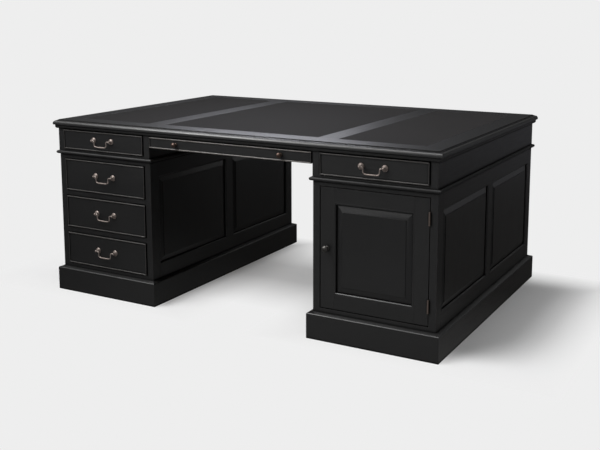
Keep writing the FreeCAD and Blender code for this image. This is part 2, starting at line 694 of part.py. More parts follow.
def drawer(name, face, width, height, foot, box_half, box_foot, box_height):
    """Front board, cockbead and box of a drawer in a frame whose face is at that depth."""
    front = board(f"{name}_front", centred("0", width), ("-size.drawer_front_proud", FRONT_BACK),
                  (foot, f"{foot} + {height}"))
    bead, feature = ring(f"{name}_bead", width, height, "size.bead_width", "size.bead_proud",
                         back=False)
    nose = feature.Shape.BoundBox.YMin
    rounded(bead, feature, "size.bead_radius",
            lambda box: near(box.YMin, nose) and near(box.YMax, nose))
    beading = group(f"{name}_beading", [bead], y="-size.drawer_front_proud",
                    z=f"{foot} + {height} / 2")
    box_inner = f"({box_half} - size.drawer_side)"
    between = (f"-{box_inner}", box_inner)
    box_back = f"({face} - {PARTITION_Y} - size.drawer_back_gap)"
    back_face = f"({box_back} - size.drawer_side)"
    along = (FRONT_BACK, box_back)
    upright = (box_foot, f"{box_foot} + {box_height}")
    bottom_foot = f"({box_foot} + size.drawer_bottom_lift)"
    return [
        front, beading,
        board(f"{name}_left", (f"-{box_half}", f"-{box_inner}"), along, upright),
        board(f"{name}_right", (box_inner, box_half), along, upright),
        board(f"{name}_back", between, (back_face, box_back), upright),
        board(f"{name}_bottom", between, (FRONT_BACK, back_face),
              (bottom_foot, f"{bottom_foot} + size.drawer_bottom")),
    ]


# Both long sides of the desk: name, sign of X and Y, turn
SITTERS = (("front", "", "-", 0), ("rear", "-", "", 180))
DRAWER_NAMES = ("lower", "middle", "upper")


def drawer_places():
    """Name, X as seen by the sitter, face and foot of every drawer with a bail handle."""
    places = [(name, f"-{BAY_X}", FACE_Y, drawer_foot(number), "pedestal")
              for number, name in enumerate(DRAWER_NAMES)]
    places += [(f"{name}_frieze", x, FRIEZE_Y, FRIEZE_FLOOR, "frieze")
               for name, x in (("left", f"-{BAY_X}"), ("right", BAY_X))]
    return places


def make_drawers():
    boxes = {
        "pedestal": drawer("pedestal_drawer", FACE_Y, SIDE_FRONT_WIDTH, PEDESTAL_FRONT,
                           "size.drawer_gap_bottom", BOX_SIDE, "size.runner_clear",
                           "size.pedestal_drawer_side"),
        "frieze": drawer("frieze_drawer", FRIEZE_Y, SIDE_FRONT_WIDTH, FRIEZE_FRONT,
                         "size.drawer_gap_bottom", BOX_SIDE, "size.runner_clear",
                         "size.frieze_drawer_side"),
    }
    centre = drawer("centre_drawer", FRIEZE_Y, CENTRE_FRONT_WIDTH, "size.centre_drawer_front", "0",
                    f"({KNEE_X} - size.centre_drawer_clear)", "size.centre_drawer_lift",
                    "size.centre_drawer_side")
    for sitter, x_sign, y_sign, turn in SITTERS:
        for name, x, face, foot, kind in drawer_places():
            node(f"{sitter}_{name}_drawer", boxes[kind], x=f"{x_sign}({x})", y=f"{y_sign}{face}",
                 z=foot, turn=turn)
        node(f"{sitter}_centre_drawer", centre, y=f"{y_sign}{FRIEZE_Y}", z=CENTRE_FOOT, turn=turn)


# Handles and knobs

def turned(name, pieces):
    """A fused piece made along Z, then laid with its foot on Y 0 and its head outward."""
    whole = fused(name, pieces)
    whole.Placement.Rotation = OUTWARD
    return whole


def handle_post():
    """A post with the bail's bore in the side of its ball that faces -X."""
    rose = rod("rose_disc", "size.rose_radius", "size.rose_thickness")
    cone = taper("rose_cone", "size.rose_cone_radius", "size.post_neck_radius", "size.rose_cone_height",
                 z="size.rose_thickness")
    neck = rod("post_neck", "size.post_neck_radius", "size.bail_reach")
    ball = doc.addObject("Part::Sphere", "post_ball")
    bind(ball, {"Radius": "size.post_ball_radius"})
    place(ball, z="size.bail_reach")
    solid = fused("post_solid", [rose, cone, neck, ball])
    bore = rod("post_bore", "size.bail_pin_radius + size.bail_pin_clear", "2 * size.post_ball_radius",
               ALONG_X, x="-2 * size.post_ball_radius", z="size.bail_reach")
    cut = doc.addObject("Part::Cut", "handle_post")
    cut.Base = solid
    cut.Tool = bore
    cut.Placement.Rotation = OUTWARD
    return cut


def bend(name, radius, rotation, **where):
    quarter = doc.addObject("Part::Torus", name)
    quarter.Angle3 = 90
    quarter.Placement.Rotation = rotation
    bind(quarter, {"Radius1": radius, "Radius2": "size.bail_rod_radius"})
    return place(quarter, **where)


def bail():
    """The swinging handle: its pivot is the X axis and the grip hangs below."""
    arm = "(size.bail_width / 2)"
    shoulder = "(size.handle_centres / 2 - size.post_ball_radius - size.bail_shoulder_gap)"
    pin_end = "(size.handle_centres / 2 - size.bail_end_play)"
    upper = "size.bail_upper_bend"
    lower = "size.bail_lower_bend"
    radius = "size.bail_rod_radius"
    upper_turn = FreeCAD.Rotation(
        FreeCAD.Vector(0, 0, 1), FreeCAD.Vector(-1, 0, 0), FreeCAD.Vector(0, -1, 0), "XYZ")
    lower_turn = FreeCAD.Rotation(FreeCAD.Vector(1, 0, 0), -90)
    pivot_start = f"{arm} + {upper}"
    arm_foot = f"{lower} - size.bail_drop"
    half = fused("bail_half", [
        rod("bail_pin", "size.bail_pin_radius", f"{pin_end} - {arm} - {upper}", ALONG_X, x=pivot_start),
        rod("bail_shoulder", radius, f"{shoulder} - {arm} - {upper}", ALONG_X, x=pivot_start),
        bend("bail_upper_bend", upper, upper_turn, x=pivot_start, z=f"-{upper}"),
        rod("bail_arm", radius, f"size.bail_drop - {upper} - {lower}", x=arm, z=arm_foot),
        bend("bail_lower_bend", lower, lower_turn, x=f"{arm} - {lower}", z=arm_foot),
        taper("bail_grip", "size.bail_grip_radius", radius, f"{arm} - {lower}", ALONG_X,
              z="-size.bail_drop"),
    ])
    other = doc.addObject("Part::Mirroring", "bail_other_half")
    other.Source = half
    other.Normal = FreeCAD.Vector(1, 0, 0)
    return fused("bail", [half, other])


def knob(name, size):
    foot = rod(f"{name}_foot", f"size.{size}_foot", "size.knob_foot_thickness")
    neck = rod(f"{name}_neck", f"size.{size}_neck", f"size.{size}_reach")
    head = doc.addObject("Part::Ellipsoid", f"{name}_head")
    bind(head, {"Radius1": f"size.{size}_half_height", "Radius2": f"size.{size}_radius",
                "Radius3": f"size.{size}_radius"})
    place(head, z=f"size.{size}_reach")
    return turned(name, [foot, neck, head])


def make_handles():
    post = handle_post()
    half = "size.handle_centres / 2"
    posts = [group("post_right", [post], x=half),
             group("post_left", [post], x=f"-{half}")]
    posts[1].Placement.Rotation = FreeCAD.Rotation(FreeCAD.Vector(0, 1, 0), 180)
    swing = bail()
    heights = {"pedestal": PEDESTAL_FRONT, "frieze": FRIEZE_FRONT}
    for sitter, x_sign, y_sign, turn in SITTERS:
        outward = "-" if turn == 0 else "+"
        for name, x, face, foot, kind in drawer_places():
            z = f"{foot} + size.drawer_gap_bottom + {heights[kind]} / 2 + size.handle_rise"
            surface = f"{y_sign}{face} {outward} size.drawer_front_proud"
            x_here = f"{x_sign}({x})"
            node(f"{sitter}_{name}_posts", posts, x=x_here, y=surface, z=z, turn=turn)
            node(f"{sitter}_{name}_bail", [swing], x=x_here, y=f"{surface} {outward} size.bail_reach",
                 z=z, turn=turn)


def make_centre_knobs():
    turned_knob = knob("centre_knob", "centre_knob")
    pair = [group("centre_knob_right", [turned_knob], x="size.centre_knob_spacing / 2"),
            group("centre_knob_left", [turned_knob], x="-size.centre_knob_spacing / 2")]
    for sitter, x_sign, y_sign, turn in SITTERS:
        outward = "-" if turn == 0 else "+"
        node(f"{sitter}_centre_knobs", pair, y=f"{y_sign}{FRIEZE_Y} {outward} size.drawer_front_proud",
             z=f"{CENTRE_FOOT} + size.centre_drawer_front / 2", turn=turn)


# The doors: same origin as a drawer, the hinges on the sitter's right

DOOR_WIDTH = f"({OPENING_WIDTH} - 2 * size.door_gap)"
DOOR_HEIGHT = f"({OPENING_HEIGHT} - 2 * size.door_gap)"
DOOR_PANEL_WIDTH = f"({DOOR_WIDTH} - 2 * size.door_frame_width)"
DOOR_PANEL_HEIGHT = f"({DOOR_HEIGHT} - 2 * size.door_frame_width)"
DOOR_MIDDLE = f"({OPENING_HEIGHT} / 2)"
HINGE_X = f"({OPENING_WIDTH} / 2 - size.door_gap / 2)"
HINGE_Y = "(size.knuckle_radius + size.knuckle_stand_off)"


def door_frame():
    thickness = ("size.door_recess", "size.door_recess + size.frame_thickness")
    edge = f"{DOOR_WIDTH} / 2"
    inner = f"{DOOR_PANEL_WIDTH} / 2"
    foot = "size.door_gap"
    head = f"(size.door_gap + {DOOR_HEIGHT})"
    mould = panel_mould("door_mould", DOOR_PANEL_WIDTH, DOOR_PANEL_HEIGHT)
    return [
        board("door_stile_left", (f"-{edge}", f"-{inner}"), thickness, (foot, head)),
        board("door_stile_right", (inner, edge), thickness, (foot, head)),
        board("door_rail_foot", (f"-{inner}", inner), thickness,
              (foot, f"{foot} + size.door_frame_width")),
        board("door_rail_head", (f"-{inner}", inner), thickness,
              (f"{head} - size.door_frame_width", head)),
        group("door_moulding", [mould], y="size.door_recess", z=DOOR_MIDDLE),
    ]


def hinge_leaf(name, leaf_x, knuckles, with_pin):
    """Leaf and knuckles of one butt hinge about its own middle; axis at X 0, Y 0."""
    step = "((size.hinge_height + size.knuckle_gap) / 3)"
    pieces = [board(f"{name}_plate", leaf_x, (HINGE_Y, f"{HINGE_Y} + size.hinge_leaf_width"),
                    centred("0", "size.hinge_height"))]
    height = f"({step} - size.knuckle_gap)"
    for number in knuckles:
        foot = f"({number} * {step} - size.hinge_height / 2)"
        pieces.append(rod(f"{name}_knuckle_{number}", "size.knuckle_radius", height, z=foot))
        pieces.append(board(f"{name}_web_{number}", leaf_x, ("0", HINGE_Y),
                            (foot, f"{foot} + {height}")))
    pin_foot = "-size.hinge_height / 2"
    if with_pin:
        pieces.append(rod(f"{name}_pin", "size.hinge_pin_radius", "size.hinge_height", z=pin_foot))
        return fused(name, pieces)
    bore = rod(f"{name}_bore", "size.hinge_pin_radius + size.hinge_pin_clear", "size.hinge_height",
               z=pin_foot)
    cut = doc.addObject("Part::Cut", name)
    cut.Base = fused(f"{name}_solid", pieces)
    cut.Tool = bore
    return cut


def hinge_pair(name, leaf):
    low = f"(size.door_gap + size.hinge_from_end)"
    high = f"({OPENING_HEIGHT} - size.door_gap - size.hinge_from_end)"
    return [group(f"{name}_{where}", [leaf], x=HINGE_X, y=f"-{HINGE_Y}", z=z)
            for where, z in (("lower", low), ("upper", high))]


def make_doors():
    frame = door_frame()
    centre_panel = group("door_panel_set", [panel("door_panel", DOOR_PANEL_WIDTH, DOOR_PANEL_HEIGHT)],
                         y="size.door_recess", z=DOOR_MIDDLE)
    knob_x = f"-({DOOR_WIDTH} - size.door_frame_width) / 2"
    door_knob = group("door_knob_set", [knob("door_knob", "door_knob")], x=knob_x, y="size.door_recess",
                      z=DOOR_MIDDLE)
    half_gap = "size.door_gap / 2"
    moving = hinge_leaf("door_leaf", (f"-{half_gap}", f"size.hinge_leaf - {half_gap}"), (1,), False)
    fixed = hinge_leaf("frame_leaf", (f"{half_gap} - size.hinge_leaf", half_gap), (0, 2), True)
    moving_pair = hinge_pair("door_leaf", moving)
    fixed_pair = hinge_pair("frame_leaf", fixed)
    fixed_leaves = []
    for sitter, x_sign, y_sign, turn in SITTERS:
        where = {"x": f"{x_sign}{BAY_X}", "y": f"{y_sign}{FACE_Y}", "z": OPENING_FOOT, "turn": turn}
        node(f"{sitter}_door_frame", frame, **where)
        node(f"{sitter}_door_panel", [centre_panel], **where)
        node(f"{sitter}_door_knob", [door_knob], **where)
        node(f"{sitter}_door_leaves", moving_pair, **where)
        fixed_leaves.append(group(f"{sitter}_frame_leaves", fixed_pair, **where))
    node("hinge_frame_leaves", fixed_leaves)


def check_and_write():
    doc.recompute()
    for item in doc.Objects:
        if "Invalid" in item.State or "Error" in item.State:
            raise RuntimeError(f"{item.Name} failed: {item.State}")
    for piece in NODES:
        if piece.Shape.isNull() or not piece.Shape.isValid() or not piece.Shape.Solids:
            raise RuntimeError(f"{piece.Label} has no valid shape")
    os.makedirs("parts", exist_ok=True)
    for piece in NODES:
        piece.Shape.exportStep(f"parts/{piece.Label}.step")
        print(f"{piece.Label}: {len(piece.Shape.Solids)} solids")
    print(f"{len(NODES)} nodes")


make_top_board()
make_leathers()
make_bed_moulding()
make_frieze_frame()
make_frieze_boards()
make_pedestal_frames()
make_side_panels()
make_carcase_boards()
make_plinths()
make_astragals()
make_drawers()
make_handles()
make_centre_knobs()
make_doors()
check_and_write()
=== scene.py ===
import bpy
import bmesh
import json
import math
import random
from mathutils import Matrix, Vector

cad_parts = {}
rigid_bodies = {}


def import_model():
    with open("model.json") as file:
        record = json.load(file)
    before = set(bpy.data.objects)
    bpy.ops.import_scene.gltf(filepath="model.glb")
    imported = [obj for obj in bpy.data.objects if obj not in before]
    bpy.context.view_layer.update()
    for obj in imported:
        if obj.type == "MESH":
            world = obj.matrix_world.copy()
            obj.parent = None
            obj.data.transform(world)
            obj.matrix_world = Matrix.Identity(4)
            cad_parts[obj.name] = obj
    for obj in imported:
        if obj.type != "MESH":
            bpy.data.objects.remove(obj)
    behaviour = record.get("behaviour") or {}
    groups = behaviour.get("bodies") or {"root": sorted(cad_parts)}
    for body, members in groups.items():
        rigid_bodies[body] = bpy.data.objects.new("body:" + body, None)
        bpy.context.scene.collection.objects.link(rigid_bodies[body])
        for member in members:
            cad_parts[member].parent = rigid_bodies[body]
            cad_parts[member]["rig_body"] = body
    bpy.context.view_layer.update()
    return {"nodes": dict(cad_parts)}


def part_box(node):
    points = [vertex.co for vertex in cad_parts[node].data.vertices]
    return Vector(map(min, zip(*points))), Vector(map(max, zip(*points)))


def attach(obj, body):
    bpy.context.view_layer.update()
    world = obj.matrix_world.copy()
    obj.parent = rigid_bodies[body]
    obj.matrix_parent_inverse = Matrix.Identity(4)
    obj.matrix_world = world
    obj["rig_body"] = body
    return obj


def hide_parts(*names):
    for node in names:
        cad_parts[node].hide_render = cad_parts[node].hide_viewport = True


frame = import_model()
mm = 0.001
micron = 0.001 * mm
print("loaded", len(frame["nodes"]), "nodes")


# Shader graphs

class Wire:
    # a node's output, so that shader maths can be written as sums

    def __init__(self, graph, socket):
        self.graph = graph
        self.socket = socket

    def also(self, name):
        # another output of the same node
        return Wire(self.graph, self.graph.find(self.socket.node.outputs, name))

    def maths(self, operation, first, second=0):
        return self.graph.add("ShaderNodeMath", {"operation": operation}, {0: first, 1: second})

    def atLeast(self, other):
        return self.maths("MAXIMUM", self, other)

    def __abs__(self):
        return self.maths("ABSOLUTE", self)

    def __add__(self, other):
        return self.maths("ADD", self, other)

    def __sub__(self, other):
        return self.maths("SUBTRACT", self, other)

    def __rsub__(self, other):
        return self.maths("SUBTRACT", other, self)

    def __mul__(self, other):
        return self.maths("MULTIPLY", self, other)

    __radd__ = __add__
    __rmul__ = __mul__


class Graph:
    def __init__(self, tree):
        self.tree = tree
        tree.nodes.clear()

    def find(self, sockets, name):
        if isinstance(name, int):
            return sockets[name]
        return next(s for s in sockets if name in (s.identifier, s.name) and s.enabled)

    def add(self, kind, settings=None, values=None, out=0):
        # settings come first, because some of them change which sockets a node has
        node = self.tree.nodes.new(kind)
        for name, value in (settings or {}).items():
            if name == "stops":
                self.setStops(node.color_ramp.elements, value)
            else:
                setattr(node, name, value)
        for name, value in (values or {}).items():
            socket = self.find(node.inputs, name)
            if isinstance(value, Wire):
                self.tree.links.new(value.socket, socket)
            else:
                socket.default_value = value
        return Wire(self, self.find(node.outputs, out)) if len(node.outputs) else node

    def setStops(self, elements, stops):
        while len(elements) < len(stops):
            elements.new(1)
        for element, (position, level) in zip(elements, stops):
            element.position = position
            element.color = (level, level, level, 1)

    def ramp(self, fac, *stops):
        return self.add("ShaderNodeValToRGB", {"stops": stops}, {"Fac": fac}, "Color")

    def mix(self, fac, first, second):
        colours = {"A_Color": first, "B_Color": second, "Factor_Float": fac}
        return self.add("ShaderNodeMix", {"data_type": "RGBA"}, colours, "Result_Color")

    def noise(self, place, scale, detail=2, roughness=0.5, distortion=0, out="Fac"):
        return self.add("ShaderNodeTexNoise", None, {
            "Vector": place, "Scale": scale, "Detail": detail, "Roughness": roughness,
            "Distortion": distortion}, out)

    def stretched(self, place, scale):
        return self.add("ShaderNodeMapping", None, {"Vector": place, "Scale": scale})

    def vectorMaths(self, operation, values, out="Vector"):
        return self.add("ShaderNodeVectorMath", {"operation": operation}, values, out)

    def attribute(self, name, out):
        return self.add("ShaderNodeAttribute", {"attribute_name": name}, None, out)

    def objectPlace(self):
        return self.add("ShaderNodeTexCoord", None, None, "Object")


def newFinish(name):
    material = bpy.data.materials.new(name)
    material.use_nodes = True
    return material, Graph(material.node_tree)


def closeFinish(graph, settings, colour, roughness, height, metal=0):
    # the bump and the principled shader at the end of every finish
    bump = graph.add("ShaderNodeBump", None, {
        "Height": height, "Distance": settings["bumpDepth"], "Strength": settings["bumpStrength"]})
    shader = graph.add("ShaderNodeBsdfPrincipled", None, {
        "Base Color": colour, "Roughness": roughness, "Metallic": metal, "Normal": bump,
        "Specular IOR Level": settings["specular"]})
    graph.add("ShaderNodeOutputMaterial", None, {"Surface": shader})


paint = {
    "dark": (0.0064, 0.0064, 0.0067, 1),
    "light": (0.0094, 0.0092, 0.0092, 1),
    # worn paint, also used as a painted highlight on the cockbeads
    "worn": (0.205, 0.188, 0.174, 1),
    # painted shade: the colour that the paint darkens to where it is closed in
    "crevice": (0.0016, 0.0015, 0.0014, 1),
    "creviceShadeReach": 10 * mm,
    "creviceShadeFade": ((0.58, 1.0), (0.96, 0.0)),
    "creviceShadeSamples": 6,
    "poreScale": (26, 1500, 1500),  # along, across and through the board
    "poreEdge": ((0.36, 1.0), (0.47, 0.0)),
    "figureScale": (2.2, 46, 46),
    "brushScale": (7, 260, 260),
    "cloudScale": 5,
    "rubScale": 60,
    "shadeRange": ((0.25, 0.0), (0.8, 1.0)),
    "roughness": 0.36,
    "specular": 0.42,
    "bumpDepth": 0.12 * mm,
    "bumpStrength": 0.5,
}


def blackPaint(name, settings):
    # satin black over open-pored wood: pores and brush marks run along each board
    material, g = newFinish(name)
    place = g.attribute("grain", "Vector")
    pores = g.noise(g.stretched(place, settings["poreScale"]), 1, 3, 0.65)
    poreMask = g.ramp(pores, *settings["poreEdge"])
    figure = g.noise(g.stretched(place, settings["figureScale"]), 1, 4, 0.55, 0.35)
    brush = g.noise(g.stretched(place, settings["brushScale"]), 1, 2, 0.5)
    cloud = g.noise(place, settings["cloudScale"], 3)
    shade = figure * 0.5 + cloud * 0.3 + g.attribute("tone", "Fac") * 0.35 - 0.1
    colour = g.mix(g.ramp(shade, *settings["shadeRange"]), settings["dark"], settings["light"])
    # wear and painted highlight: the eased arrises are lighter as wear, the cockbead rounds as wear
    # and as a painted highlight
    rubbed = (g.noise(place, settings["rubScale"], 4, 0.7) + 0.5) * g.attribute("wear", "Fac")
    colour = g.mix(rubbed, colour, settings["worn"])
    # painted shade: ambient occlusion darkens the colour and dulls the shine in crevices and at the
    # feet of beads and mouldings
    openness = g.add("ShaderNodeAmbientOcclusion", {"samples": settings["creviceShadeSamples"]}, {
        "Distance": settings["creviceShadeReach"]}, "AO")
    crevice = g.ramp(openness, *settings["creviceShadeFade"])
    colour = g.mix(crevice, colour, settings["crevice"])
    roughness = (settings["roughness"] + brush * 0.10 + poreMask * 0.12 + cloud * 0.06 - 0.05
                 + crevice * 0.3)
    height = brush * 0.35 - poreMask * 0.2 + figure * 0.3
    # the painted shade in the crevices has no shine, as a black metal has none
    closeFinish(g, settings, colour, roughness, height, crevice)
    return material


leather = {
    "dark": (0.0204, 0.0195, 0.0196, 1),
    "light": (0.0304, 0.0288, 0.0289, 1),
    "pebble": 1.5 * mm,
    "creaseEdge": ((0.0, 1.0), (0.16, 0.0)),
    "bendScale": 90,
    "bend": 0.0035,
    "cloudScale": 4.5,
    "fineScale": 1400,
    "shadeRange": ((0.1, 0.0), (0.85, 1.0)),
    "roughness": 0.80,
    "specular": 0.06,
    "bumpDepth": 0.15 * mm,
    "bumpStrength": 0.6,
}


def writingLeather(name, settings):
    # skiver leather: small pebbles parted by creases, and a few broad soft clouds
    material, g = newFinish(name)
    place = g.objectPlace()
    wander = g.noise(place, settings["bendScale"], out="Color")
    bent = g.vectorMaths("ADD", {
        0: place, 1: g.vectorMaths("SCALE", {0: wander, "Scale": settings["bend"]})})
    pebbles = g.add("ShaderNodeTexVoronoi", {"feature": "DISTANCE_TO_EDGE"}, {
        "Vector": bent, "Scale": 1 / settings["pebble"], "Randomness": 0.95}, "Distance")
    creases = g.ramp(pebbles, *settings["creaseEdge"])
    clouds = g.noise(place, settings["cloudScale"], 5, 0.6, 0.4)
    fine = g.noise(place, settings["fineScale"], 3)
    tone = clouds * 0.8 + fine * 0.2 - creases * 0.35
    colour = g.mix(g.ramp(tone, *settings["shadeRange"]), settings["dark"], settings["light"])
    roughness = settings["roughness"] + creases * 0.1 + clouds * 0.1 - 0.05
    closeFinish(g, settings, colour, roughness, 0.25 * fine - creases)
    return material


plainWood = {
    "dark": (0.135, 0.075, 0.038, 1),
    "light": (0.30, 0.185, 0.105, 1),
    "wanderScale": (1.4, 9, 9),
    "ringScale": (0.35, 34, 34),
    "ringBend": 5,
    "fibreScale": (18, 900, 900),
    "shadeRange": ((0.15, 0.0), (0.85, 1.0)),
    "roughness": 0.46,
    "specular": 0.5,
    "bumpDepth": 0.1 * mm,
    "bumpStrength": 0.5,
}


def boxWood(name, settings):
    # oiled wood of the drawer boxes, with growth rings that bend along each board
    material, g = newFinish(name)
    place = g.attribute("grain", "Vector")
    wander = g.noise(g.stretched(place, settings["wanderScale"]), 1, 3)
    rings = g.add("ShaderNodeTexWave", {"bands_direction": "Y"}, {
        "Vector": g.stretched(place, settings["ringScale"]), "Scale": 1,
        "Distortion": settings["ringBend"], "Detail": 3, "Detail Scale": 0.7}, "Fac")
    fibres = g.noise(g.stretched(place, settings["fibreScale"]), 1, 4, 0.6)
    board = g.attribute("tone", "Fac")
    tone = rings * 0.4 + wander * 0.45 + fibres * 0.35 + board * 0.3 - 0.3
    colour = g.mix(g.ramp(tone, *settings["shadeRange"]), settings["dark"], settings["light"])
    roughness = settings["roughness"] + fibres * 0.15 - 0.05
    closeFinish(g, settings, colour, roughness, fibres)
    return material


patina = {
    "mottleScale": 420,
    "fineScale": 2600,
    "exposedEdge": ((0.44, 0.0), (0.58, 1.0)),
    "patinaRange": ((0.25, 0.0), (0.75, 1.0)),
    "rubRange": ((0.62, 0.0), (0.98, 1.0)),
    "roughness": 0.46,
    "specular": 0.5,
    "bumpDepth": 0.08 * mm,
    "bumpStrength": 0.4,
    "metal": 1,
}
bronze = {
    **patina,
    "recess": (0.060, 0.044, 0.037, 1),
    "body": (0.182, 0.146, 0.129, 1),
    "rubbed": (0.270, 0.232, 0.211, 1),
    "metal": 0.45,
}
copper = {
    **patina,
    "recess": (0.022, 0.016, 0.013, 1),
    "body": (0.066, 0.043, 0.035, 1),
    "rubbed": (0.17, 0.125, 0.105, 1),
}
hingeMetal = {
    **patina,
    "recess": (0.040, 0.030, 0.024, 1),
    "body": (0.122, 0.096, 0.082, 1),
    "rubbed": (0.24, 0.195, 0.170, 1),
    "roughness": 0.50,
}
darkMetal = {
    **patina,
    "recess": (0.014, 0.013, 0.012, 1),
    "body": (0.058, 0.055, 0.052, 1),
    "rubbed": (0.135, 0.130, 0.124, 1),
}


def agedMetal(name, settings):
    # patina in the hollows, bare metal where hands and cloths reach
    material, g = newFinish(name)
    place = g.objectPlace()
    mottle = g.noise(place, settings["mottleScale"], 4, 0.6)
    fine = g.noise(place, settings["fineScale"], 3, 0.6)
    pointiness = g.add("ShaderNodeNewGeometry", None, None, "Pointiness")
    exposed = g.ramp(pointiness, *settings["exposedEdge"])
    body = g.ramp(mottle * 0.6 + exposed * 0.7 - fine * 0.15, *settings["patinaRange"])
    colour = g.mix(body, settings["recess"], settings["body"])
    rub = g.ramp(exposed * 0.75 + mottle * 0.45, *settings["rubRange"])
    colour = g.mix(rub, colour, settings["rubbed"])
    roughness = settings["roughness"] + 0.18 * (1 - body) + 0.1 * fine - 0.05
    closeFinish(g, settings, colour, roughness, mottle * 0.7 + fine * 0.3, settings["metal"])
    return material


topPaint = {**paint, "roughness": 0.38, "specular": 0.5}
mouldPaint = {**paint, "roughness": 0.54, "specular": 0.30}
panelPaint = {**paint, "roughness": 0.32, "creviceShadeReach": 3 * mm}
finishes = {
    "paint": blackPaint("blackPaint", paint),
    "topPaint": blackPaint("topBlackPaint", topPaint),
    "mouldPaint": blackPaint("mouldBlackPaint", mouldPaint),
    "panelPaint": blackPaint("panelBlackPaint", panelPaint),
    "leather": writingLeather("writingLeather", leather),
    "boxWood": boxWood("drawerBoxWood", plainWood),
    "bronze": agedMetal("antiqueBronze", bronze),
    "copper": agedMetal("rubbedCopper", copper),
    "hingeMetal": agedMetal("dullBrass", hingeMetal),
    "darkMetal": agedMetal("blackenedMetal", darkMetal),
}
print("finishes", len(finishes))


# Woodwork: the boards of a node are closed up, their open arrises are eased, and each has its grain

woodwork = {
    "arris": 0.7 * mm,
    "mouldArris": 0.35 * mm,
    "panelArris": 0.5 * mm,
    "arrisAngle": 35,  # degrees from which an edge is an arris
    "arrisSegments": 2,
    "jointReach": 0.3 * mm,
    "sharp": 35,
    "panelSharp": 8,
    "merge": 2 * micron,
    "flat": 0.4,  # degrees under which two faces are one
    "grainShift": 4,
    "arrisWear": 0.06,
    # how much lighter the cockbead rounds are painted, as wear and as a painted highlight
    "beadWearAndHighlight": 0.30,
    "centreBeadWearAndHighlight": 0.95,
    "uprightBeadWearAndHighlight": 0.12,
    "beadFlat": 0.995,
    "beadEnd": 6 * mm,
}


def camel(name):
    first, *rest = name.split("_")
    return first + "".join(word.capitalize() for word in rest)


def solidRuns(mesh):
    # a node's solids stand one after another in its mesh, each one closed
    runs, openEdges, start = [], set(), 0
    for polygon in mesh.polygons:
        corners = [tuple(round(c / micron) for c in mesh.vertices[v].co) for v in polygon.vertices]
        for a, b in zip(corners, corners[1:] + corners[:1]):
            openEdges ^= {(min(a, b), max(a, b))}
        if not openEdges:
            runs.append(range(start, polygon.index + 1))
            start = polygon.index + 1
    return runs


def boxOfRun(mesh, run):
    points = [mesh.vertices[v].co for i in run for v in mesh.polygons[i].vertices]
    return [Vector([pick(p[i] for p in points) for i in range(3)]) for pick in (min, max)]


def boardBoxes(mesh, rings):
    # the box of every straight board and strip; rings are open inside and left out
    return [boxOfRun(mesh, run) for number, run in enumerate(solidRuns(mesh))
            if number not in rings]


def isJoint(edge, neighbours):
    # whether another board stands against the edge, so that it isn't an open arris
    middle = (edge.verts[0].co + edge.verts[1].co) / 2
    first, second = (face.normal for face in edge.link_faces)
    for out, back in ((first, second), (second, first)):
        point = middle + (out - back) * woodwork["jointReach"]
        if any(all(lo[i] < point[i] < hi[i] for i in range(3)) for lo, hi in neighbours):
            return True
    return False


def openMesh(source):
    # a bmesh of the node with a place for what the finishes read
    bm = bmesh.new()
    bm.from_mesh(source)
    layers = {
        "board": bm.faces.layers.int.new("board"),
        "tone": bm.faces.layers.float.new("tone"),
        "wear": bm.faces.layers.float.new("wear"),
        "grain": bm.loops.layers.float_vector.new("grain"),
    }
    return bm, layers


def closeUp(bm, runs, layers):
    faces = list(bm.faces)
    for number, run in enumerate(runs):
        corners = {}  # kept in the order of the mesh, so that each run gives the same result
        for i in run:
            faces[i][layers["board"]] = number
            corners.update(dict.fromkeys(faces[i].verts))
        bmesh.ops.remove_doubles(bm, verts=list(corners), dist=woodwork["merge"])
    flat = math.radians(woodwork["flat"])
    bmesh.ops.dissolve_limit(bm, angle_limit=flat, verts=bm.verts, edges=bm.edges)


def ease(bm, width, neighbours, layers):
    angle = math.radians(woodwork["arrisAngle"])
    edges = [e for e in bm.edges if len(e.link_faces) == 2 and e.calc_face_angle(0) > angle
             and e.is_convex and not isJoint(e, neighbours)]
    eased = bmesh.ops.bevel(
        bm, geom=edges, offset=width, offset_type="OFFSET", segments=woodwork["arrisSegments"],
        profile=0.5, affect="EDGES", clamp_overlap=True, material=-1)
    for face in eased["faces"]:
        face[layers["wear"]] = woodwork["arrisWear"]


def grainOf(box, along, chance):
    # the axes along, across and through a board, and a start and tone of its own
    size = box[1] - box[0]
    order = sorted(range(3), key=lambda i: -size[i])
    if along is not None:
        order.sort(key=lambda i: i != along)
    shift = woodwork["grainShift"]
    start = Vector([chance.uniform(-shift, shift) for _ in range(3)])
    return {"middle": (box[0] + box[1]) / 2, "size": size, "order": order, "start": start,
            "tone": chance.random()}


def layGrain(bm, boards, layers, rings):
    for face in bm.faces:
        number = face[layers["board"]]
        board = boards[number]
        order = board["order"]
        if number in rings:  # each side of a ring runs along itself
            out = face.calc_center_median() - board["middle"]
            wide, high = order[:2]
            if abs(out[wide]) / board["size"][wide] > abs(out[high]) / board["size"][high]:
                order = [high, wide, order[2]]
        face[layers["tone"]] = board["tone"]
        for loop in face.loops:
            local = loop.vert.co - board["middle"]
            loop[layers["grain"]] = Vector([local[i] for i in order]) + board["start"]


def asPiece(node, bm, materials, sharp):
    # the finished piece, which takes the place of the node and moves with its body
    mesh = bpy.data.meshes.new(camel(node))
    for face in bm.faces:
        face.smooth = True
    bm.to_mesh(mesh)
    bm.free()
    stale = mesh.attributes.get("custom_normal")
    if stale:
        mesh.attributes.remove(stale)
    mesh.set_sharp_from_angle(angle=math.radians(sharp))
    for key in materials:
        mesh.materials.append(finishes[key])
    piece = bpy.data.objects.new(camel(node), mesh)
    bpy.context.scene.collection.objects.link(piece)
    weighted = piece.modifiers.new("evenNormals", "WEIGHTED_NORMAL")
    weighted.keep_sharp = True
    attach(piece, frame["nodes"][node]["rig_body"])
    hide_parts(node)


